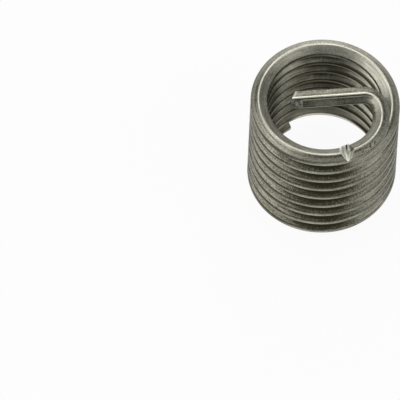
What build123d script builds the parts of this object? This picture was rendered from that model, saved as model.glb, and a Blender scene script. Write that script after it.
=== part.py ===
from build123d import *
import math
import os

# Helical thread insert: one length of drawn diamond-section wire, wound into a right-hand
# coil. The plain end is cut square and stands on Z = 0, and the coil's axis is Z. The upper
# end is bent across the bore as a driving tang, with a notch where it breaks off.
# Millimetres.

# Wire section. A flank is the slanted side between a ridge and a crest.
wire_width = 1.18            # along the axis, over the two ridges taken sharp
outer_crest = 0.46           # flat that bears in the tapped hole
inner_crest = 0.32           # flat that faces the screw
flank_angle = 30.0           # of each flank to the radius: a 60 degree thread
ridge_round = 0.20           # drawn radius of the two ridges

# Coil, free, before it is wound into its hole.
coil_diameter = 12.0         # over the outer crests
coil_gap = 0.13              # between two turns, with their ridges taken sharp
coil_turns = 8.46            # from the plain end to the middle of the notch
plain_end_angle = 126.0      # of the plain end about the axis, from +X

# Tang: the coil runs on past the notch, bends in twice and crosses the bore.
tang_lead = 20.3             # degrees of coil past the notch
easy_bend_radius = 3.31      # at the ridge
easy_bend_angle = 62.1
tight_bend_radius = 1.53     # at the ridge
tight_bend_angle = 85.8
tang_bar = 5.62              # straight length across the bore, at the ridge
tip_outer_angle = 18.0       # shear faces of the tip, each back from square
tip_inner_angle = 49.0

# Notch: a V straight down through the upper ridge.
notch_width = 1.19           # at the sharp ridge
notch_floor = 0.36           # wire left under the V

# The gauged turns have true cylinders for crests, and end clear below the tang.
ungauged_turns = 0.5
faces_per_turn = 4           # crest faces in one turn, each short enough to stay plain
trim = 0.02                  # crests are swept this much proud, then cut to size

slope = math.tan(math.radians(flank_angle))
outer_depth = (wire_width - outer_crest) / 2 / slope
inner_depth = (wire_width - inner_crest) / 2 / slope
ridge_radius = coil_diameter / 2 - outer_depth
bore_radius = ridge_radius - inner_depth
pitch = wire_width + coil_gap
climb = pitch / (2 * math.pi * ridge_radius)     # rise for each millimetre along the ridge
ridge_loss = ridge_round * (1 / math.cos(math.radians(flank_angle)) - 1)

gauged_turns = coil_turns - ungauged_turns
segment_count = math.ceil(gauged_turns * faces_per_turn)
segment_angle = 360 * gauged_turns / segment_count
runout_angle = 360 * ungauged_turns + tang_lead


def rise(radius, angle):
    return climb * radius * math.radians(angle)


def onward(radius, angle):
    """From one end of a left-hand bend to the other. Wire runs along +Y, +X points outward."""
    return Pos(-radius, 0, 0) * Rot(0, 0, angle) * Pos(radius, 0, rise(radius, angle))


def wire_section(proud=0.0):
    """Section of the wire about the line through its ridges, with the outer crest on +X."""
    ridge = wire_width / 2
    outer_x = outer_depth + proud
    inner_x = -inner_depth - proud
    outer_half = outer_crest / 2 - proud * slope
    inner_half = inner_crest / 2 - proud * slope
    with BuildSketch(Plane.XZ) as section:
        with BuildLine():
            Polyline(
                (0, ridge),
                (outer_x, outer_half),
                (outer_x, -outer_half),
                (0, -ridge),
                (inner_x, -inner_half),
                (inner_x, inner_half),
                close=True,
            )
        make_face()
        ridges = section.vertices().sort_by(Axis.Y)
        fillet([ridges[0], ridges[-1]], radius=ridge_round)
    return section.sketch


def bent_wire(radius, angle, proud=0.0):
    """Wire bent to the left about a centre on -X, climbing as the coil does."""
    with BuildPart() as run:
        with BuildLine() as path:
            Helix(
                pitch=rise(radius, 360),
                height=rise(radius, angle),
                radius=radius,
                center=(-radius, 0, 0),
            )
        sweep(sections=wire_section(proud), path=path.line, is_frenet=True, clean=False)
    return run.part


def straight_wire(length):
    with BuildPart() as run:
        extrude(wire_section(), amount=math.hypot(length, climb * length), dir=(0, 1, climb))
    return run.part


# One gauged segment, with its crests cut to a tube about the coil's axis. The tube's seam
# is on the far side.
with BuildPart() as segment:
    add(bent_wire(ridge_radius, segment_angle, proud=trim))
    tube_plane = Plane(
        origin=(-ridge_radius, 0, -wire_width), x_dir=(-1, 0, 0), z_dir=(0, 0, 1)
    )
    with BuildSketch(tube_plane):
        Circle(coil_diameter / 2)
        Circle(bore_radius, mode=Mode.SUBTRACT)
    extrude(amount=2 * wire_width + pitch, mode=Mode.INTERSECT, clean=False)


# Tang, in the frame where it leaves the gauged turns.
easy_bend_start = onward(ridge_radius, runout_angle)
tight_bend_start = easy_bend_start * onward(easy_bend_radius, easy_bend_angle)
bar_start = tight_bend_start * onward(tight_bend_radius, tight_bend_angle)
bar_end = bar_start * Pos(0, tang_bar, climb * tang_bar)
notch_middle = onward(ridge_radius, 360 * ungauged_turns)

with BuildPart() as tang:
    add(bent_wire(ridge_radius, runout_angle))
    with Locations(easy_bend_start):
        add(bent_wire(easy_bend_radius, easy_bend_angle), clean=False)
    with Locations(tight_bend_start):
        add(bent_wire(tight_bend_radius, tight_bend_angle), clean=False)
    with Locations(bar_start):
        add(straight_wire(tang_bar), clean=False)

    # Two shear faces meet at the ridge and make the tip a chisel.
    outer_back = outer_depth * math.tan(math.radians(tip_outer_angle))
    inner_back = inner_depth * math.tan(math.radians(tip_inner_angle))
    with BuildSketch(Plane(bar_end).offset(-wire_width)):
        with BuildLine():
            Polyline(
                (0, 0),
                (2 * outer_depth, -2 * outer_back),
                (2 * outer_depth, outer_depth),
                (-2 * inner_depth, outer_depth),
                (-2 * inner_depth, -2 * inner_back),
                close=True,
            )
        make_face()
    extrude(amount=2 * wire_width, mode=Mode.SUBTRACT, clean=False)

    # The V runs along the radius, with its root level.
    notch_depth = wire_width - notch_floor
    with BuildSketch(Plane(notch_middle) * Plane.YZ):
        with BuildLine():
            Polyline(
                (0, wire_width / 2 - notch_depth),
                (notch_width, wire_width / 2 + notch_depth),
                (-notch_width, wire_width / 2 + notch_depth),
                close=True,
            )
        make_face()
    extrude(amount=2 * inner_depth, both=True, mode=Mode.SUBTRACT, clean=False)


# The whole wire, from the plain end up.
plain_end = Rot(0, 0, plain_end_angle) * Pos(ridge_radius, 0, wire_width / 2 - ridge_loss)
segment_places = [plain_end * onward(ridge_radius, segment_angle * k) for k in range(segment_count)]

with BuildPart() as wire_coil:
    with Locations(*segment_places):
        add(segment.part, clean=False)
    with Locations(plain_end * onward(ridge_radius, 360 * gauged_turns)):
        add(tang.part, clean=False)

wire_coil.part.label = "wire_coil"

os.makedirs("parts", exist_ok=True)
export_step(wire_coil.part, "parts/wire_coil.step")

print(f"bore radius {bore_radius:.3f}, pitch {pitch:.3f}, ridge radius {ridge_radius:.3f}")
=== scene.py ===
import math
from collections import namedtuple

import bpy
from mathutils import Matrix, Vector


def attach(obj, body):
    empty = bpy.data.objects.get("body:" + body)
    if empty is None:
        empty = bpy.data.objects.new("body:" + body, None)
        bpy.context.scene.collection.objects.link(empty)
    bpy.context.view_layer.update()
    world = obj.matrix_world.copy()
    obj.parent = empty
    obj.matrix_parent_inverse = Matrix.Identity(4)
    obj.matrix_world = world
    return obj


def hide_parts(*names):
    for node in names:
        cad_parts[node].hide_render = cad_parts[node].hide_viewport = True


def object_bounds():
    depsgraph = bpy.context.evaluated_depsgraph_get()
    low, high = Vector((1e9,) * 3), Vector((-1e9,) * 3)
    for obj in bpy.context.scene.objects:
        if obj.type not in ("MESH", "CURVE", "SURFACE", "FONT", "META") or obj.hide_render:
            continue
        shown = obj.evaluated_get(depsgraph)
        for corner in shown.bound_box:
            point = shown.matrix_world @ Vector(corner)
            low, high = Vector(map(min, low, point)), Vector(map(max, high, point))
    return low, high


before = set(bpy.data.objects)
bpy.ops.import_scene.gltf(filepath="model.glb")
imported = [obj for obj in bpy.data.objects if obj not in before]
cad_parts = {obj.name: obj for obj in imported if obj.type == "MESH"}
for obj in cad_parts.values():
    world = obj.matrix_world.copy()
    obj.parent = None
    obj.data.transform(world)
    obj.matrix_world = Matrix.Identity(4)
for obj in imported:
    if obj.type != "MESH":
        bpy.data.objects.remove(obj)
CAD_LOW, CAD_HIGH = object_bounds()

# A helical thread insert: one drawn wire, wound into a coil, with a driving tang bent across
# its bore and a notch where the tang breaks off. Metres, in the frame of the solid.
MM = 0.001

# Section of the wire, square to its length. A flank joins a ridge and a crest.
WIRE_WIDTH = 1.18 * MM       # over the two ridges taken sharp
OUTER_CREST = 0.46 * MM
INNER_CREST = 0.32 * MM
FLANK_ANGLE = math.radians(30)
FLANK_BULGE = 0.006 * MM
RIDGE_ROUND = 0.20 * MM
OUTER_ROUND = 0.14 * MM
INNER_ROUND = 0.16 * MM
OUTER_DEPTH = (WIRE_WIDTH - OUTER_CREST) / 2 / math.tan(FLANK_ANGLE)
INNER_DEPTH = (WIRE_WIDTH - INNER_CREST) / 2 / math.tan(FLANK_ANGLE)
RIDGE_LOSS = RIDGE_ROUND * (1 / math.cos(FLANK_ANGLE) - 1)

# Coil. Its radius is that of the solid.
COIL_RADIUS = (CAD_HIGH.x - CAD_LOW.x) / 2
RIDGE_RADIUS = COIL_RADIUS - OUTER_DEPTH
TURN_GAP = 0.13 * MM         # between ridges taken sharp
PITCH = WIRE_WIDTH + TURN_GAP
CLIMB = PITCH / (2 * math.pi * RIDGE_RADIUS)     # rise for each metre along the ridge
COIL_TURNS = 8.466
PLAIN_END_ANGLE = math.radians(123)
PLAIN_END_ROUND = 0.14 * MM

# Distances along the wire from its plain end.
ONE_TURN = 2 * math.pi * RIDGE_RADIUS * math.hypot(1, CLIMB)
WIRE_NOTCH = COIL_TURNS * ONE_TURN
LAST_TURN = WIRE_NOTCH - ONE_TURN

# Tang, all at the ridge.
TANG_LEAD = math.radians(16.57)
EASY_BEND_RADIUS = 3.335 * MM
EASY_BEND_ANGLE = math.radians(72.25)
TIGHT_BEND_RADIUS = 1.262 * MM
TIGHT_BEND_ANGLE = math.radians(79.25)
TANG_BAR = 5.81 * MM
TANG_ROLL = -math.radians(24)   # in the tight bend
ROLL_HEIGHT = 0.39 * MM         # of the line it rolls about, over the middle of the wire
TIP_OUTER_SLOPE = math.tan(math.radians(33))
TIP_INNER_SLOPE = math.tan(math.radians(12))
TIP_SHEAR = 0.86 * MM           # the inner flank is sheared away from here to the tip
TIP_SHEAR_SLOPE = math.tan(math.radians(30))
TIP_SHEAR_EDGE = (0.05 * MM, 0.09 * MM)    # inward of the ridge, where the shearing begins

TANG_STRAIGHT = (
    WIRE_NOTCH
    + math.hypot(1, CLIMB)
    * (RIDGE_RADIUS * TANG_LEAD + EASY_BEND_RADIUS * EASY_BEND_ANGLE
       + TIGHT_BEND_RADIUS * TIGHT_BEND_ANGLE)
)

# Notch, a V through the upper ridge, deeper towards the bore.
NOTCH_BEFORE = 0.53 * MM     # at the ridge, each way from its root
NOTCH_BEYOND = 0.54 * MM
NOTCH_SKEW = 0.16            # of its root, back along the wire for each metre outward
NOTCH_FLARE = 0.35           # of its far side, for each metre outward
NOTCH_DEPTH = 0.72 * MM
NOTCH_FALL = 0.36            # of its root, for each metre inward
ROOT_ROUND = 0.06 * MM
TEAR = 0.16 * MM
TEAR_MEETING = 0.8 * MM      # outward of the ridge, where the torn ridges would meet
TEAR_SCALE = 5.0

# Burr in the notch: where it rises and ends, along the wire from the root, and how far inward
# and up it has its full height. It has two prongs, with a dip midway between them.
BURR = 0.55 * MM
BURR_RISE = 0.28 * MM
BURR_START = (-0.42 * MM, -0.05 * MM)
BURR_END = (0.36 * MM, 0.48 * MM)
BURR_INWARD = (0.40 * MM, 0.62 * MM)
BURR_UP = (-0.10 * MM, 0.15 * MM)
PRONGS_BEYOND = 0.145 * MM
PRONG_DIP = (0.03 * MM, 0.10 * MM)
PRONG_DIP_DEPTH = 0.35

# Finish of the wire: its two colours as drawn, and its two where it is torn. Each dark one also
# serves for painted shade, each light one for painted highlights.
DARK_STEEL_AND_SHADE = (0.075, 0.069, 0.041)
CLEAN_STEEL_AND_HIGHLIGHT = (0.88, 0.865, 0.74)
TORN_DARK_AND_SHADE = (0.09, 0.082, 0.06)
TORN_STEEL_AND_HIGHLIGHT = (0.98, 0.98, 0.88)
FINISH_RELIEF = 0.004 * MM

# Studio. A level of 1 is white.
FLOOR_SIDE = 4.0
FLOOR_GLOW = 0.94
PAPER_GREY = (0.9, 0.9, 0.9, 1)
FLOOR_SHADE = (20 * MM, 150 * MM)    # from the coil's axis, where the shadow fades out
ROOM_LEVEL = 0.30
LAMP_DISTANCE = 1.5

# Spacing of the sections along the wire, and of the points round each.
COIL_STEP = 0.26 * MM
BEND_STEP = 0.12 * MM
CUT_STEP = 0.03 * MM
FACET_STEP = 0.13 * MM
CORNER_POINTS = 6
END_SECTIONS = 6
MERGED = 0.001 * MM
CRISP_ANGLE = math.radians(32)


class Value:
    """A node's output, with the arithmetic that formulas need."""

    def __init__(self, nodes, node, output=0):
        self.nodes, self.node = nodes, node
        self.socket = node.outputs[output] if len(node.outputs) else None

    def out(self, output):
        return Value(self.nodes, self.node, output)

    def maths(self, operation, *others):
        return self.nodes.maths(operation, self, *others)

    def __add__(self, other):
        return self.maths("ADD", other)

    def __sub__(self, other):
        return self.maths("SUBTRACT", other)

    def __rsub__(self, other):
        return self.nodes.maths("SUBTRACT", other, self)

    def __mul__(self, other):
        return self.maths("MULTIPLY", other)

    def __truediv__(self, other):
        return self.maths("DIVIDE", other)

    def __rtruediv__(self, other):
        return self.nodes.maths("DIVIDE", other, self)

    def __neg__(self):
        return self.maths("MULTIPLY", -1)

    def __abs__(self):
        return self.maths("ABSOLUTE")

    __radd__ = __add__
    __rmul__ = __mul__

    def atmost(self, other):
        return self.maths("MINIMUM", other)

    def atleast(self, other):
        return self.maths("MAXIMUM", other)

    def over(self, other):
        return self.maths("GREATER_THAN", other)

    def between(self, low, high, smooth=False):
        """0 at low and 1 at high."""
        kind = "SMOOTHSTEP" if smooth else "LINEAR"
        return self.nodes.add(
            "ShaderNodeMapRange", {"interpolation_type": kind}, (self, low, high)
        )

    def close_to(self, middle, full, none, smooth=False):
        """1 up to full away from middle, and 0 from none on."""
        away = abs(self - middle) if middle else abs(self)
        return 1 - away.between(full, none, smooth)


class Nodes:
    """Adds nodes to a tree."""

    def __init__(self, tree):
        self.tree = tree

    def add(self, kind, settings=None, inputs=(), output=0):
        node = self.tree.nodes.new(kind)
        for name, value in (settings or {}).items():
            setattr(node, name, value)
        pairs = inputs.items() if isinstance(inputs, dict) else enumerate(inputs)
        for key, value in pairs:
            if isinstance(value, Value):
                self.tree.links.new(value.socket, node.inputs[key])
            else:
                node.inputs[key].default_value = value
        return Value(self, node, output)

    def maths(self, operation, *values):
        return self.add("ShaderNodeMath", {"operation": operation}, values)

    def vectors(self, operation, *values):
        return self.add("ShaderNodeVectorMath", {"operation": operation}, values)

    def scaled(self, vector, factor):
        inputs = {"Vector": vector, "Scale": factor}
        return self.add("ShaderNodeVectorMath", {"operation": "SCALE"}, inputs)

    def combine(self, x, y, z=0):
        return self.add("ShaderNodeCombineXYZ", inputs=(x, y, z))

    def separate(self, vector):
        """A vector's X, Y and Z."""
        x = self.add("ShaderNodeSeparateXYZ", inputs=(vector,))
        return x, x.out("Y"), x.out("Z")

    def stored(self, geometry, name, value, kind):
        """Geometry that carries a value at each of its points."""
        return self.add(
            "GeometryNodeStoreNamedAttribute",
            {"data_type": kind, "domain": "POINT"},
            {"Geometry": geometry, "Name": name, "Value": value},
        )


# ---------------------------------------------------------------- the wire's path


Station = namedtuple("Station", "place along size roll heading")


class WirePath:
    """The line midway between the wire's ridges, from the plain end to the tip. It goes
    straight or bends to the left, and climbs all the way."""

    def __init__(self, place, heading):
        self.place, self.heading, self.along, self.roll = Vector(place), heading, 0.0, 0.0
        self.stations = []

    def direction(self):
        return Vector((math.cos(self.heading), math.sin(self.heading), CLIMB)).normalized()

    def station(self, size=1.0, beyond=0.0):
        """Notes a section here, or a little beyond, scaled by size."""
        onward = self.direction()
        outward = onward.cross(Vector((0, 0, 1))).normalized()
        swing = outward * -math.sin(self.roll) + Vector((0, 0, 1 - math.cos(self.roll)))
        place = self.place + onward * beyond + swing * ROLL_HEIGHT
        self.stations.append(Station(place, self.along + beyond, size, self.roll, onward))

    def plain_end(self, rounding):
        """Sections for a face square to the wire, which grow from a point, and its edge."""
        face, count = 1 - 2 * rounding / WIRE_WIDTH, END_SECTIONS
        for k in range(count):
            self.station(face * k / count, (k - count) * CUT_STEP)
        for k in range(count + 1):
            angle = k / count * math.pi / 2
            self.station(face + (1 - face) * math.sin(angle), rounding * (1 - math.cos(angle)))

    def tip(self):
        """Sections beyond the tip, for its face, which shrink to a point."""
        for k in range(1, END_SECTIONS + 1):
            self.station(1 - k / END_SECTIONS, k * CUT_STEP)

    def straight(self, length, step):
        count = math.ceil(length / step)
        for _ in range(count):
            self.place += self.direction() * (length / count)
            self.along += length / count
            self.station()

    def bend(self, radius, angle, step, roll=0.0):
        """A bend, in which the wire also rolls smoothly from level to roll."""
        count = math.ceil(radius * angle / step)
        turn = angle / count
        for k in range(1, count + 1):
            chord = 2 * radius * math.sin(turn / 2)
            middle = self.heading + turn / 2
            rise = CLIMB * radius * turn
            self.place += Vector((chord * math.cos(middle), chord * math.sin(middle), rise))
            self.heading += turn
            self.along += radius * turn * math.hypot(1, CLIMB)
            self.roll = roll * (3 - 2 * k / count) * (k / count) ** 2
            self.station()


def lay_wire():
    """The wire's path, with the place of its notch and the distance along it of its tip."""
    start = Matrix.Rotation(PLAIN_END_ANGLE, 3, "Z") @ Vector((RIDGE_RADIUS, 0, 0))
    start.z = CAD_LOW.z + WIRE_WIDTH / 2 - RIDGE_LOSS
    path = WirePath(start, PLAIN_END_ANGLE + math.pi / 2)
    path.plain_end(PLAIN_END_ROUND)

    # The angle of the close sections, twice the notch's reach, each way from its root.
    half_notch = 2 * NOTCH_BEFORE / RIDGE_RADIUS
    path.bend(RIDGE_RADIUS, COIL_TURNS * 2 * math.pi - half_notch, COIL_STEP)
    path.bend(RIDGE_RADIUS, half_notch, CUT_STEP)
    notch = (path.along, path.place.z)
    path.bend(RIDGE_RADIUS, half_notch, CUT_STEP)
    path.bend(RIDGE_RADIUS, TANG_LEAD - half_notch, BEND_STEP)
    path.bend(EASY_BEND_RADIUS, EASY_BEND_ANGLE, BEND_STEP)
    path.bend(TIGHT_BEND_RADIUS, TIGHT_BEND_ANGLE, BEND_STEP, TANG_ROLL)

    tip_length = 1.2 * TIP_SHEAR    # of its close sections
    path.straight(TANG_BAR - tip_length, BEND_STEP)
    path.straight(tip_length, CUT_STEP)
    tip = path.along
    path.tip()
    return path, notch, tip


def path_mesh(path):
    mesh = bpy.data.meshes.new("wire_path")
    places = [station.place for station in path.stations]
    mesh.from_pydata(places, [(i, i + 1) for i in range(len(places) - 1)], [])
    for name in ("along", "size", "roll"):
        values = mesh.attributes.new(name, "FLOAT", "POINT").data
        for value, station in zip(values, path.stations):
            value.value = getattr(station, name)
    headings = mesh.attributes.new("heading", "FLOAT_VECTOR", "POINT").data
    for heading, station in zip(headings, path.stations):
        heading.vector = station.heading
    return mesh


# ---------------------------------------------------------------- the wire


def add_inputs(tree, sizes):
    """Named inputs on a geometry tree, in order: its geometry, then each size."""
    tree.interface.new_socket("Geometry", in_out="INPUT", socket_type="NodeSocketGeometry")
    tree.interface.new_socket("Geometry", in_out="OUTPUT", socket_type="NodeSocketGeometry")
    for name in sizes:
        tree.interface.new_socket(name, in_out="INPUT", socket_type="NodeSocketFloat")
    tree.interface.new_socket("Material", in_out="INPUT", socket_type="NodeSocketMaterial")


def chosen(nodes, index, places):
    """The place that stands at index in a list of them."""
    switch = nodes.add("GeometryNodeIndexSwitch", {"data_type": "VECTOR"}).node
    while len(switch.index_switch_items) < len(places):
        switch.index_switch_items.new()
    for number, value in enumerate([index, *places]):
        nodes.tree.links.new(value.socket, switch.inputs[number])
    return Value(nodes, switch)    # its sockets have changed since it was added


def section_curve(nodes, given):
    """The wire's section as a closed curve, X outward and Y up, with its corners rounded."""
    ridge = given("Wire Width") / 2
    outer, inner = given("Outer Depth"), -given("Inner Depth")
    outer_half, inner_half = given("Outer Crest") / 2, given("Inner Crest") / 2
    corners = [
        nodes.combine(0, ridge),
        nodes.combine(inner, inner_half),
        nodes.combine(inner, -inner_half),
        nodes.combine(0, -ridge),
        nodes.combine(outer, -outer_half),
        nodes.combine(outer, outer_half),
    ]
    index = nodes.add("GeometryNodeInputIndex")
    polygon = nodes.add(
        "GeometryNodeCurvePrimitiveCircle", {"mode": "RADIUS"}, {"Resolution": len(corners)}
    )
    placed = nodes.add(
        "GeometryNodeSetPosition",
        inputs={"Geometry": polygon, "Position": chosen(nodes, index, corners)},
    )

    # The ridges are corners 0 and 3, and the outer crest lies between 4 and 5.
    on_ridge = index.maths("MODULO", 3).maths("COMPARE", 0, 0.5)
    outside = index.over(3)
    radius = (
        given("Inner Round")
        + on_ridge * (given("Ridge Round") - given("Inner Round"))
        + outside * (given("Outer Round") - given("Inner Round"))
    )
    rounded = nodes.add(
        "GeometryNodeFilletCurve",
        {"mode": "POLY"},
        {"Curve": placed, "Count": CORNER_POINTS, "Radius": radius, "Limit Radius": True},
    )

    position = nodes.add("GeometryNodeInputPosition")
    following = nodes.add(
        "GeometryNodeOffsetPointInCurve", inputs={"Point Index": index, "Offset": 1}
    )
    neighbour = nodes.add(
        "GeometryNodeFieldAtIndex",
        {"data_type": "FLOAT_VECTOR"},
        {"Value": position, "Index": following.out("Point Index")},
    )
    gap = nodes.vectors("DISTANCE", position, neighbour).out("Value")
    cuts = (gap / given("Facet Step")).maths("FLOOR")
    divided = nodes.add("GeometryNodeSubdivideCurve", inputs={"Curve": rounded, "Cuts": cuts})
    upright = nodes.vectors("MULTIPLY", position, (1, -1, 0))    # the sweep turns Y to point down
    marked = nodes.stored(divided, "section", upright, "FLOAT_VECTOR")

    # Drawing leaves the flanks a little full.
    x, y, _ = nodes.separate(position)
    share = (x / outer).atleast(x / inner)
    bulge = given("Flank Bulge") * share * (1 - share) * 4
    full = nodes.combine(
        x.maths("SIGN") * bulge * math.sin(FLANK_ANGLE),
        y.maths("SIGN") * bulge * math.cos(FLANK_ANGLE),
    )
    return nodes.add("GeometryNodeSetPosition", inputs={"Geometry": marked, "Offset": full})


class WirePoint:
    """Where a point of the swept wire lies: along it, and outward and up from midway between
    its ridges."""

    def __init__(self, nodes):
        self.nodes = nodes
        self.along, self.size = self.attribute("along"), self.attribute("size")
        self.roll = self.attribute("roll")
        self.heading = self.attribute("heading", "FLOAT_VECTOR")
        outward, up, _ = nodes.separate(self.attribute("section", "FLOAT_VECTOR"))
        self.outward, self.up = outward * self.size, up * self.size

    def attribute(self, name, kind="FLOAT"):
        return self.nodes.add("GeometryNodeInputNamedAttribute", {"data_type": kind}, (name,))


def sweep_section(nodes, given, at):
    curve = nodes.add("GeometryNodeMeshToCurve", inputs=(given("Geometry"),))
    upright = nodes.add("GeometryNodeSetCurveNormal", {"mode": "Z_UP"}, (curve,))
    rolled = nodes.add("GeometryNodeSetCurveTilt", inputs={"Curve": upright, "Tilt": at.roll})
    return nodes.add(
        "GeometryNodeCurveToMesh",
        inputs={"Curve": rolled, "Profile Curve": section_curve(nodes, given), "Scale": at.size},
    )


def cut_ends(nodes, given, at, wire):
    """Moves what lies beyond an end back along the wire to its face. Also gives how far that
    is at the tip, as a negative length."""
    back = (at.outward * given("Tip Outer Slope")).atleast(-at.outward * given("Tip Inner Slope"))
    past_tip = (given("Tip") - back - at.along).atmost(0)
    before_end = (-at.along).atleast(0)
    moved = nodes.scaled(at.heading, past_tip + before_end)
    wire = nodes.add("GeometryNodeSetPosition", inputs={"Geometry": wire, "Offset": moved})
    return wire, past_tip


def shear_tip(nodes, given, at, wire, past_tip):
    """Shears the tip's inner flank down to a slope, and leaves its ridge standing. Also gives
    how much is sheared away."""
    flank = at.up * math.cos(FLANK_ANGLE) - at.outward * math.sin(FLANK_ANGLE)
    sound = given("Wire Width") / 2 * math.cos(FLANK_ANGLE)
    cut = (at.along + past_tip - given("Tip") + given("Tip Shear")).atleast(0)
    proud = (flank - sound + cut * given("Tip Shear Slope")).atleast(0)
    proud = proud * (-at.outward).between(*TIP_SHEAR_EDGE) * cut.over(0)
    tilt = at.roll - FLANK_ANGLE
    onward_x, onward_y, _ = nodes.separate(at.heading)
    off_flank = nodes.combine(
        onward_y * tilt.maths("SINE"), -onward_x * tilt.maths("SINE"), tilt.maths("COSINE")
    )
    moved = nodes.scaled(off_flank, -proud)
    wire = nodes.add("GeometryNodeSetPosition", inputs={"Geometry": wire, "Offset": moved})
    return wire, proud


def burr_share(at, from_root):
    """Two prongs of burr in the notch, at the bore, as a share of their full height."""
    prongs = from_root.between(*BURR_START, smooth=True)
    prongs -= from_root.between(*BURR_END, smooth=True)
    prongs -= from_root.close_to(PRONGS_BEYOND, *PRONG_DIP, smooth=True) * PRONG_DIP_DEPTH
    return (-at.outward).between(*BURR_INWARD, smooth=True) * prongs


def cut_notch(nodes, given, at, wire, at_tip):
    """Brings what lies above the notch's V down to it. The burr stands in it, and its faces
    are torn in ridges that run together at its outer end. All that is cut or torn, here or at
    the tip, is marked as sheared."""
    x, y, height = nodes.separate(nodes.add("GeometryNodeInputPosition"))
    from_root = at.along - given("Notch") + at.outward.atleast(0) * given("Notch Skew")
    soft = given("Root Round")
    spread = (from_root * from_root + soft * soft).maths("SQRT") - soft
    beyond = given("Notch Beyond") + at.outward.atleast(0) * given("Notch Flare")
    reach = given("Notch Before") + from_root.over(0) * (beyond - given("Notch Before"))
    torn = nodes.add(
        "ShaderNodeTexNoise",
        {"noise_dimensions": "1D"},
        {"W": from_root / (TEAR_MEETING - at.outward), "Scale": TEAR_SCALE, "Detail": 1.0},
    )
    burr = burr_share(at, from_root)
    upper_burr = burr * at.up.between(*BURR_UP)
    floor = (
        given("Notch Root")
        + spread * given("Notch Depth") / reach
        + at.outward * given("Notch Fall")
        + (torn - 0.5) * given("Tear")
        + burr * given("Burr")
    )
    lowered = nodes.combine(x, y, height.atmost(floor) + upper_burr * given("Burr Rise"))
    cut = height.over(floor).atleast(upper_burr).atleast(at_tip)
    marked = nodes.stored(wire, "sheared", cut, "FLOAT")
    return nodes.add("GeometryNodeSetPosition", inputs={"Geometry": marked, "Position": lowered})


def wire_tree(sizes):
    """Sweeps the section along the path, and cuts the two ends and the notch."""
    tree = bpy.data.node_groups.new("wound_wire", "GeometryNodeTree")
    add_inputs(tree, sizes)
    nodes = Nodes(tree)
    given = nodes.add("NodeGroupInput").out
    at = WirePoint(nodes)
    wire = sweep_section(nodes, given, at)
    wire, past_tip = cut_ends(nodes, given, at, wire)
    wire, proud = shear_tip(nodes, given, at, wire, past_tip)
    wire = cut_notch(nodes, given, at, wire, (-past_tip).over(0).atleast(proud.over(0)))

    wire = nodes.add(
        "GeometryNodeMergeByDistance", inputs={"Geometry": wire, "Distance": MERGED}
    )
    wire = nodes.add(
        "GeometryNodeSetShadeSmooth", {"domain": "FACE"}, {"Geometry": wire, "Shade Smooth": True}
    )
    bent = nodes.add("GeometryNodeInputMeshEdgeAngle").over(CRISP_ANGLE)
    wire = nodes.add(
        "GeometryNodeSetShadeSmooth",
        {"domain": "EDGE"},
        {"Geometry": wire, "Selection": bent, "Shade Smooth": False},
    )
    wire = nodes.add("GeometryNodeRealizeInstances", inputs=(wire,))
    wire = nodes.add(
        "GeometryNodeSetMaterial", inputs={"Geometry": wire, "Material": given("Material")}
    )
    nodes.add("NodeGroupOutput", inputs=(wire,))
    return tree


def wind_wire(material):
    """The wire, as a plain mesh."""
    path, (notch, notch_height), tip = lay_wire()
    sizes = {
        "Wire Width": WIRE_WIDTH,
        "Outer Crest": OUTER_CREST,
        "Inner Crest": INNER_CREST,
        "Outer Depth": OUTER_DEPTH,
        "Inner Depth": INNER_DEPTH,
        "Ridge Round": RIDGE_ROUND,
        "Outer Round": OUTER_ROUND,
        "Inner Round": INNER_ROUND,
        "Flank Bulge": FLANK_BULGE,
        "Facet Step": FACET_STEP,
        "Tip": tip,
        "Tip Outer Slope": TIP_OUTER_SLOPE,
        "Tip Inner Slope": TIP_INNER_SLOPE,
        "Tip Shear": TIP_SHEAR,
        "Tip Shear Slope": TIP_SHEAR_SLOPE,
        "Notch": notch,
        "Notch Root": notch_height + WIRE_WIDTH / 2 - NOTCH_DEPTH,
        "Notch Depth": NOTCH_DEPTH,
        "Notch Before": NOTCH_BEFORE,
        "Notch Beyond": NOTCH_BEYOND,
        "Notch Fall": NOTCH_FALL,
        "Notch Skew": NOTCH_SKEW,
        "Notch Flare": NOTCH_FLARE,
        "Root Round": ROOT_ROUND,
        "Tear": TEAR,
        "Burr": BURR,
        "Burr Rise": BURR_RISE,
    }
    wire = bpy.data.objects.new("drawn_wire_coil", path_mesh(path))
    bpy.context.scene.collection.objects.link(wire)
    wind = wire.modifiers.new("wind", "NODES")
    wind.node_group = wire_tree(sizes)
    settings = {**sizes, "Material": material}
    for item in wind.node_group.interface.items_tree:
        if item.in_out == "INPUT" and item.name in settings:
            wind[item.identifier] = settings[item.name]
    seen = wire.evaluated_get(bpy.context.evaluated_depsgraph_get())
    mesh = bpy.data.meshes.new_from_object(seen)
    wire.modifiers.remove(wind)
    wire.data = mesh
    return wire


# ---------------------------------------------------------------- finishes


def new_material(name):
    material = bpy.data.materials.new(name)
    material.use_nodes = True
    material.node_tree.nodes.clear()
    return material, Nodes(material.node_tree)


def mixed(nodes, share, low, high):
    """A colour between two: low where share is 0 and high where it is 1. The node's colours
    are its inputs 6 and 7, and its output 2."""
    return nodes.add(
        "ShaderNodeMix", {"data_type": "RGBA"}, {"Factor": share, 6: low, 7: high}, output=2
    )


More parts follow.
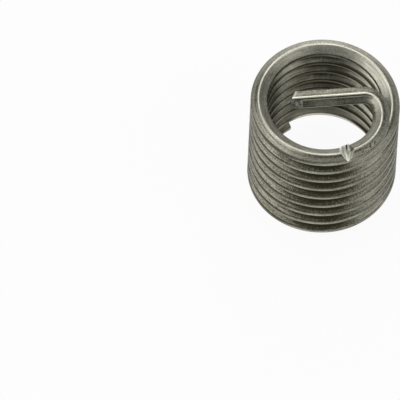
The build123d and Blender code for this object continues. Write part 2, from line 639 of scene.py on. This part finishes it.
class DrawnSteel:
    """The surface of the wire as drawn and coiled: satin, lined along its length, with painted
    shade down in the thread and bright ridges, worn and with a painted highlight, where a turn
    lies free. Lengths are in millimetres, and a share runs from 0 to 1."""

    def __init__(self, nodes):
        self.nodes = nodes
        self.along = self.attribute("along").out("Fac") * (1 / MM)
        # Outward and up from midway between the wire's ridges.
        outward, up, _ = nodes.separate(self.attribute("section").out("Vector"))
        self.outward, self.up = outward * (1 / MM), up * (1 / MM)
        self.sheared = self.attribute("sheared").out("Fac")
        self.place = nodes.scaled(nodes.add("ShaderNodeTexCoord").out("Object"), 1 / MM)

        # Lines left by drawing, grain, mottling, blotches, and ticks across the wire.
        self.lines = self.noise(self.stretched(14, 0.35), 1.0, 3.0, 0.6)
        self.grain = self.noise(self.place, 11.0, 2.0, 0.6)
        self.mottle = self.noise(self.place, 3.5, 3.0, 0.6)
        self.blotches = self.noise(self.stretched(0.9, 0.45), 1.0, 3.0, 0.55)
        self.ticks = self.noise(self.stretched(1.5, 8.0), 1.0, 1.0)
        self.ticks *= self.blotches.between(-0.02, 0.12)

        # Parts of the wire, as shares. It is free where no other turn lies against it.
        self.upper = self.up.between(-0.02, 0.02)
        self.last_turn = self.beyond(LAST_TURN).between(-0.6, 0.6)
        self.first_turn = 1 - self.beyond(ONE_TURN).between(-0.6, 0.6)
        self.tang = self.beyond(WIRE_NOTCH).between(0, 0.6)
        free_above = self.upper * self.last_turn
        free_below = (1 - self.upper) * self.first_turn
        self.free = free_above.atleast(free_below).atleast(self.tang)
        self.bar = self.beyond(TANG_STRAIGHT).between(-1.0, 0)
        # Ridges where a turn lies free are lighter and smoother: partly wear, partly a painted
        # highlight.
        self.worn_and_highlit_ridge = self.outward.close_to(0, 0.07, 0.17, smooth=True) * self.free

        # Sides of the coil, as shares, and the angle from its back, pi at the front.
        x, y, _ = nodes.separate(self.place)
        self.angle = abs(x.maths("ARCTAN2", y))
        self.right = x.between(-4.5, 4.5)
        self.far = 1 - self.angle.between(0.3, 0.9, smooth=True)
        self.right_side = self.right.between(0.5, 0.8) * (1 - self.far)
        self.left_side = (1 - self.right.between(0.1, 0.25)) * self.angle.between(1.9, 2.2)

    def attribute(self, name):
        return self.nodes.add("ShaderNodeAttribute", {"attribute_name": name})

    def noise(self, vector, scale, detail=2.0, roughness=0.5):
        """Noise about 0."""
        inputs = {"Vector": vector, "Scale": scale, "Detail": detail, "Roughness": roughness}
        return self.nodes.add("ShaderNodeTexNoise", {"noise_dimensions": "3D"}, inputs) - 0.5

    def stretched(self, across, along):
        """The place on the wire, scaled across it and along it."""
        return self.nodes.combine(self.outward * across, self.up * across, self.along * along)

    def beyond(self, distance):
        """How far on along the wire this is, from a distance in metres."""
        return self.along - distance / MM

    def line(self, middle, half_width):
        """A line along the wire's upper side."""
        line = self.outward.close_to(middle, half_width * 0.4, half_width, smooth=True)
        return line * self.upper

    def drawing_marks(self):
        """The marks in the metal itself, lighter and darker than the rest."""
        free_back = self.free * self.far
        grain = 1.0 + 0.4 * self.outward.between(0, 0.2) - 0.45 * self.far + 0.8 * free_back
        return (
            self.lines * (0.9 - 0.5 * free_back)
            + self.grain * grain
            + self.blotches * 0.6
            + self.ticks * 0.5
        )

    def shade_between_turns(self):
        """Painted shade between the flanks of neighbouring turns, most of it at the front."""
        front = (self.angle + self.blotches * 0.8).between(2.35, 3.0, smooth=True)
        deep = self.outward.close_to(0, 0.28, 0.78, smooth=True) * self.up.between(0.05, 0.23)
        return deep * (1 - self.free) * (0.07 + 0.63 * front + 0.315 * self.far)

    def outer_crest_shade(self):
        """Painted shade on the outer crest: along its upper corner, but spread evenly on the
        right.
        """
        far_right = self.right.between(0.86, 1.0) * self.right_side
        corner = (1 - self.right_side) * (0.38 + 0.22 * self.left_side) + 0.2 * far_right
        painted_shade = self.up.between(-0.06, 0.14) * corner
        painted_shade += 0.05 + 0.21 * self.right_side + 0.10 * self.left_side - 0.02 * far_right
        return painted_shade * self.outward.between(0.55, 0.62)

    def outer_flank_shade(self):
        """A little painted shade on the outer flanks of the left side."""
        flank = self.outward.between(0.1, 0.3) - self.outward.between(0.5, 0.56)
        return (flank * 0.07 + self.outward.between(0.15, 0.25) * 0.06) * self.left_side

    def inner_crest_shade(self):
        """Painted shade on the inner crest, most on the left and at the back, and on the right of
        the last turn."""
        painted_shade = 0.36 - 0.30 * self.right
        painted_shade += self.last_turn * (0.1 + 0.3 * self.right.between(0.5, 0.8))
        painted_shade += 0.45 * self.far * (1 - self.right.between(0.55, 0.85)) * (1 - self.last_turn)
        painted_shade *= (1 - self.tang) * (1 - self.first_turn * self.far)
        return painted_shade * (-self.outward).between(0.66, 0.74)

    def front_left_shade(self):
        """Painted shade low on the outside of the top turn, at the front left, and a little
        painted light on the crest above it.
        """
        front_left_shade = self.angle.close_to(2.42, 0.12, 0.4, smooth=True) * self.last_turn
        front_left_shade *= self.outward.between(0.56, 0.66) * (1 - self.right.between(0.3, 0.5))
        return front_left_shade * (0.9 * (-self.up).between(-0.16, 0.02) - 0.25)

    def scuffs(self):
        """Fine scratches beside the notch."""
        from_notch = self.beyond(WIRE_NOTCH)
        scuffed = from_notch.between(0.8, 1.2) * (1 - from_notch.between(2.3, 2.9))
        scuffed *= self.outward.between(0.08, 0.2) * (1 - self.outward.between(0.4, 0.55))
        scratches = self.noise(self.stretched(7, 3.5), 1.0, 2.0).between(0.0, 0.12)
        return scuffed * (scratches * 0.6 - 0.07)

    def bore_light_and_shade(self):
        """The bore has painted light on the right and painted shade down in its corners."""
        inside = (-self.outward).between(0.05, 0.30) * (1 - 0.7 * self.free)
        level = (self.right - 0.5).atleast(0) * 1.05 - 0.08
        level += 0.1 * (1 - self.right.between(0.2, 0.4))
        level -= 0.32 * (1 - self.right.between(0.04, 0.12))
        level += 0.52 * self.far * self.first_turn
        corner = (-self.outward).between(0.50, 0.64) * self.up.between(0.0, 0.14)
        corner *= (0.08 + 0.85 * self.right.between(0.5, 0.8)) * (1 - self.free)
        return inside * level - corner

    def top_turn_light_and_shade(self):
        """A free turn has painted light in the bore at the front and about its ridge at the back,
        and a dark line of painted shade beside its ridge, faint at the back and the front left."""
        front = (-self.outward).between(0.12, 0.35) * self.angle.between(1.9, 2.4)
        back = self.outward.close_to(0, 0.1, 0.5) * self.far
        line = self.line(0.20, 0.13) * (0.05 + 0.25 * self.angle.between(0.7, 1.5))
        left = (self.angle.between(1.5, 1.8) - self.right.between(0.2, 0.45)).atleast(0)
        line *= (1 - 0.85 * left) * (1 - 0.7 * self.bar)
        return (front * 0.22 + back * 0.16 - line) * self.free

    def bar_light_and_shade(self):
        """A light line of painted highlight and a dark line of painted shade inside the bar's
        worn ridge, duller flanks, and lighter metal near the edge of its tip."""
        past_tip = self.beyond(TANG_STRAIGHT + TANG_BAR) + self.outward * TIP_OUTER_SLOPE
        tip_edge = past_tip.between(-0.2, -0.08)
        marks = self.line(-0.17, 0.05) * 0.5 - self.line(-0.095, 0.07) * 1.2
        marks -= (-self.outward).between(0.19, 0.24) * self.upper * 0.34
        marks -= self.outward.between(0.05, 0.12) * self.upper * (0.13 - 0.40 * tip_edge)
        return marks * self.bar

    def bend_shade(self):
        """The tight bend, darker to the inside: painted shade."""
        bend = self.beyond(TANG_STRAIGHT).between(-3.8, -2.8)
        inside = (-self.outward).between(0.42, 0.58)
        return bend * (1 - self.bar) * (0.08 + 0.5 * inside)

    def marks_and_painted_light(self):
        """0 where marks and painted shade make the steel darkest, and 1 where marks, wear and
        painted highlights make it lightest.
        """
        clean = (
            0.485
            + self.drawing_marks()
            + self.worn_and_highlit_ridge * (0.24 + 0.5 * self.bar)
            + self.bar_light_and_shade()
            + self.top_turn_light_and_shade()
            + self.bore_light_and_shade()
            - self.shade_between_turns()
            - self.outer_crest_shade()
            - self.outer_flank_shade()
            - self.inner_crest_shade()
            - self.front_left_shade()
            - self.scuffs()
            - self.bend_shade()
        )
        return clean.between(0, 1.4)

    def torn_marks_and_light(self):
        """Torn metal of the notch and the tip, streaked. The notch has painted highlights along
        its root, its lip and the two prongs of burr, and painted shade in the slit between them
        and in a patch beyond. The tip has painted shade in its undercut."""
        from_root = self.beyond(WIRE_NOTCH) + self.outward.atleast(0) * NOTCH_SKEW
        across = from_root / (TEAR_MEETING / MM - self.outward) * TEAR_SCALE
        streaks = self.noise(self.nodes.combine(across, 0), 1.0, 1.0)
        root = from_root.close_to(-0.03, 0.05, 0.14, smooth=True)
        lip = (from_root - 0.5 * self.outward.atleast(0)).close_to(-0.45, 0.04, 0.13, smooth=True)
        slit = from_root.close_to(PRONGS_BEYOND / MM, 0.04, 0.09)
        slit *= (-self.outward).between(0.45, 0.6)
        prongs = abs(from_root - PRONGS_BEYOND / MM).close_to(0.165, 0.05, 0.11)
        prongs *= (-self.outward).between(0.25, 0.45)
        patch = from_root.between(0.33, 0.40) * (0.2 - self.outward).between(0.10, 0.30)
        notch = streaks * 2.9 + 0.07 + prongs - slit * 1.2 - patch * 0.8
        undercut = self.outward.close_to(-0.15, 0.03, 0.08)
        tip = self.mottle * 1.1 + self.grain * 0.3 - 0.34 - undercut * 0.5
        bright = 0.52 + self.grain * 0.5 + (root + lip) * 0.65
        bright += notch * (1 - self.tang) + tip * self.tang
        return bright.between(0, 1)


def drawn_stainless():
    material, nodes = new_material("drawn_stainless")
    steel = DrawnSteel(nodes)
    # The drawn colour carries painted light and shade besides the steel's own marks.
    drawn = mixed(nodes, steel.marks_and_painted_light(), (*DARK_STEEL_AND_SHADE, 1), (*CLEAN_STEEL_AND_HIGHLIGHT, 1))
    # The torn colour carries painted highlights and painted shade besides its streaks.
    torn = mixed(nodes, steel.torn_marks_and_light(), (*TORN_DARK_AND_SHADE, 1), (*TORN_STEEL_AND_HIGHLIGHT, 1))
    roughness = 0.42 - steel.worn_and_highlit_ridge * 0.10 - steel.lines * 0.2 + steel.grain * 0.15
    height = steel.lines * 2.2 + steel.grain * 2.4 + steel.ticks * 1.5
    relief = nodes.add(
        "ShaderNodeBump", inputs={"Strength": 0.6, "Distance": FINISH_RELIEF, "Height": height}
    )
    surface = nodes.add(
        "ShaderNodeBsdfPrincipled",
        inputs={
            "Base Color": mixed(nodes, steel.sheared, drawn, torn),
            "Metallic": 1 - 0.8 * steel.sheared,
            "Roughness": roughness + steel.sheared * 0.15,
            "Normal": relief,
        },
    )
    nodes.add("ShaderNodeOutputMaterial", inputs={"Surface": surface})
    return material


def white_floor():
    """Paper white, with a faint shadow near the coil and none further off."""
    material, nodes = new_material("white_floor")
    rays = nodes.add("ShaderNodeLightPath")
    seen = (
        rays.out("Is Camera Ray")
        .atleast(rays.out("Is Glossy Ray"))
        .atleast(rays.out("Is Transmission Ray"))
    )
    place = nodes.add("ShaderNodeTexCoord").out("Object")
    away = nodes.vectors("LENGTH", place).out("Value").between(*FLOOR_SHADE)
    paper = nodes.add("ShaderNodeBsdfDiffuse", inputs={"Color": PAPER_GREY})
    glow = nodes.add("ShaderNodeEmission", inputs={"Strength": 1.0})
    share = seen * (FLOOR_GLOW + away * (1 - FLOOR_GLOW))
    surface = nodes.add("ShaderNodeMixShader", inputs=(share, paper, glow))
    nodes.add("ShaderNodeOutputMaterial", inputs={"Surface": surface})
    return material


# ---------------------------------------------------------------- studio


def set_camera():
    """Looks down at the notch side. The object stands right of and above the view's middle."""
    elevation, roll = math.radians(59.335), math.radians(2.4)
    distance = 1.05
    view_width = 32.2 * MM
    right_of_middle, above_middle = 9.930 * MM, 5.177 * MM
    back = Vector((0, -math.cos(elevation), math.sin(elevation)))
    level = Vector((1, 0, 0))
    steep = back.cross(level)
    right = math.cos(roll) * level + math.sin(roll) * steep
    up = math.cos(roll) * steep - math.sin(roll) * level
    centre = Vector((0, 0, 6.10 * MM))
    target = centre - right * right_of_middle - up * above_middle

    data = bpy.data.cameras.new("camera")
    data.sensor_width = 36
    data.lens = data.sensor_width / 2 / (view_width / 2 / distance)
    data.clip_start, data.clip_end = 0.01, 10
    camera = bpy.data.objects.new("camera", data)
    camera.matrix_world = Matrix((right, up, back)).transposed().to_4x4()
    camera.location = target + back * distance
    bpy.context.scene.collection.objects.link(camera)
    bpy.context.scene.camera = camera


def lay_floor():
    half, height = FLOOR_SIDE / 2, CAD_LOW.z
    mesh = bpy.data.meshes.new("floor")
    corners = [(-half, -half), (half, -half), (half, half), (-half, half)]
    mesh.from_pydata([(x, y, height) for x, y in corners], [], [(0, 1, 2, 3)])
    mesh.materials.append(white_floor())
    floor = bpy.data.objects.new("floor", mesh)
    bpy.context.scene.collection.objects.link(floor)


def soft_box(name, azimuth, elevation, half_angle, level):
    """A round lamp, as bright as level times a white floor, half_angle wide from the coil."""
    azimuth, elevation = math.radians(azimuth), math.radians(elevation)
    towards = Vector(
        (
            math.cos(elevation) * math.cos(azimuth),
            math.cos(elevation) * math.sin(azimuth),
            math.sin(elevation),
        )
    )
    radius = LAMP_DISTANCE * math.tan(math.radians(half_angle))
    data = bpy.data.lights.new(name, "AREA")
    data.shape = "DISK"
    data.size = 2 * radius
    data.energy = level * math.pi * math.pi * radius**2
    lamp = bpy.data.objects.new(name, data)
    lamp.location = towards * LAMP_DISTANCE
    lamp.rotation_euler = towards.to_track_quat("Z", "Y").to_euler()
    lamp.visible_camera = False
    bpy.context.scene.collection.objects.link(lamp)


def light_studio():
    """Four soft boxes in a room that is white low down and dims with height, sooner in front
    of the object than behind it."""
    soft_box("left_soft_box", azimuth=188, elevation=45, half_angle=22, level=1.8)
    soft_box("right_soft_box", azimuth=338, elevation=50, half_angle=15, level=1.4)
    soft_box("overhead_soft_box", azimuth=90, elevation=64, half_angle=24, level=1.6)
    soft_box("back_soft_box", azimuth=90, elevation=14, half_angle=11, level=1.6)
    world = bpy.data.worlds.new("studio")
    bpy.context.scene.world = world
    world.use_nodes = True
    world.node_tree.nodes.clear()
    nodes = Nodes(world.node_tree)
    _, towards_back, towards_top = nodes.separate(nodes.add("ShaderNodeTexCoord"))
    behind = towards_back.atleast(0)
    # Between the sines of two heights, both greater behind the object.
    dim = towards_top.between(0.02 + behind * 0.10, 0.20 + behind * 0.28, smooth=True)
    level = 1 + (ROOM_LEVEL - 1) * dim
    room = nodes.add("ShaderNodeBackground", inputs={"Strength": level})
    nodes.add("ShaderNodeOutputWorld", inputs={"Surface": room})


bpy.context.scene.view_settings.view_transform = "Standard"
set_camera()
lay_floor()
light_studio()
wire = wind_wire(drawn_stainless())
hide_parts("wire_coil")
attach(wire, "root")
